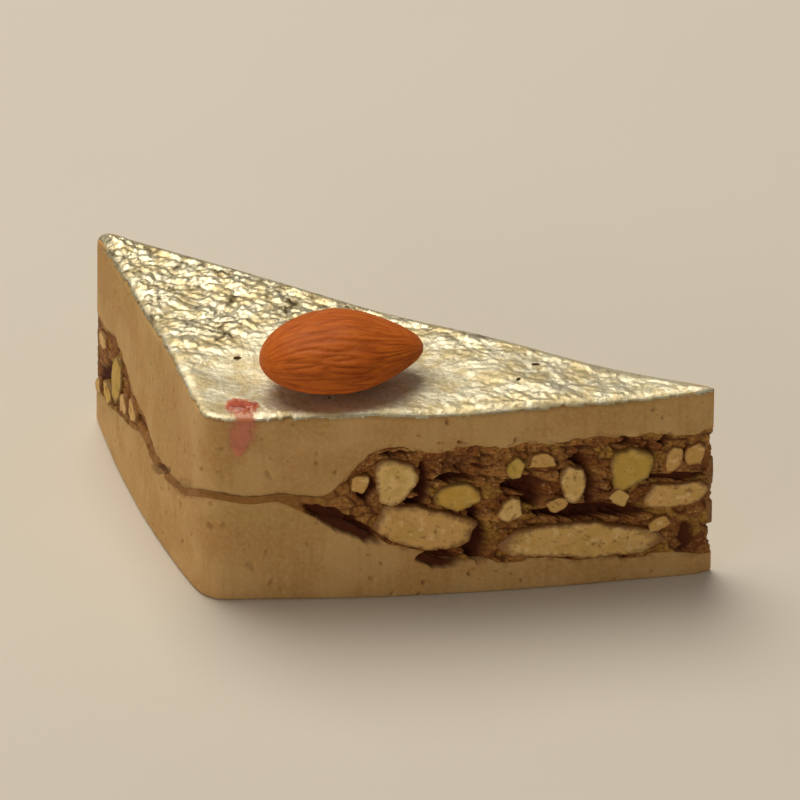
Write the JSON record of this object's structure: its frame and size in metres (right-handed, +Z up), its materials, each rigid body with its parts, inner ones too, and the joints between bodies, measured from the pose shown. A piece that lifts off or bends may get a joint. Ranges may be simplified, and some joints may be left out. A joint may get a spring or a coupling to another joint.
{
  "type": "cashew pistachio barfi",
  "caption": "Hand-cut triangle of layered cashew sweet with a chopped-nut filling, silver leaf over the top, a whole almond and a saffron-red dab; a single serving, eaten by hand.",
  "frame": {"origin": "on the base, in the middle of the piece's box", "axes": "+X along the front cut towards the right tip, +Y from the front cut towards the back tip, +Z up through the layers"},
  "size_m": [0.0694, 0.0418, 0.0343],
  "materials": {
    "cashew_layers": "dense, slightly oily cashew fudge with a fine grain",
    "nut_filling": "cut cashew and pistachio pieces in dark, sticky paste",
    "silver_leaf": "crinkled edible silver leaf",
    "almond_skin": "ridged brown almond skin",
    "saffron_red": "thin red food colour with saffron"
  },
  "bodies": {
    "root": {"bottom_layer": "cashew_layers", "filling": "nut_filling", "top_layer": "cashew_layers", "silver_leaf": "silver_leaf", "almond": "almond_skin", "saffron_dab": "saffron_red"}
  },
  "joints": []
}
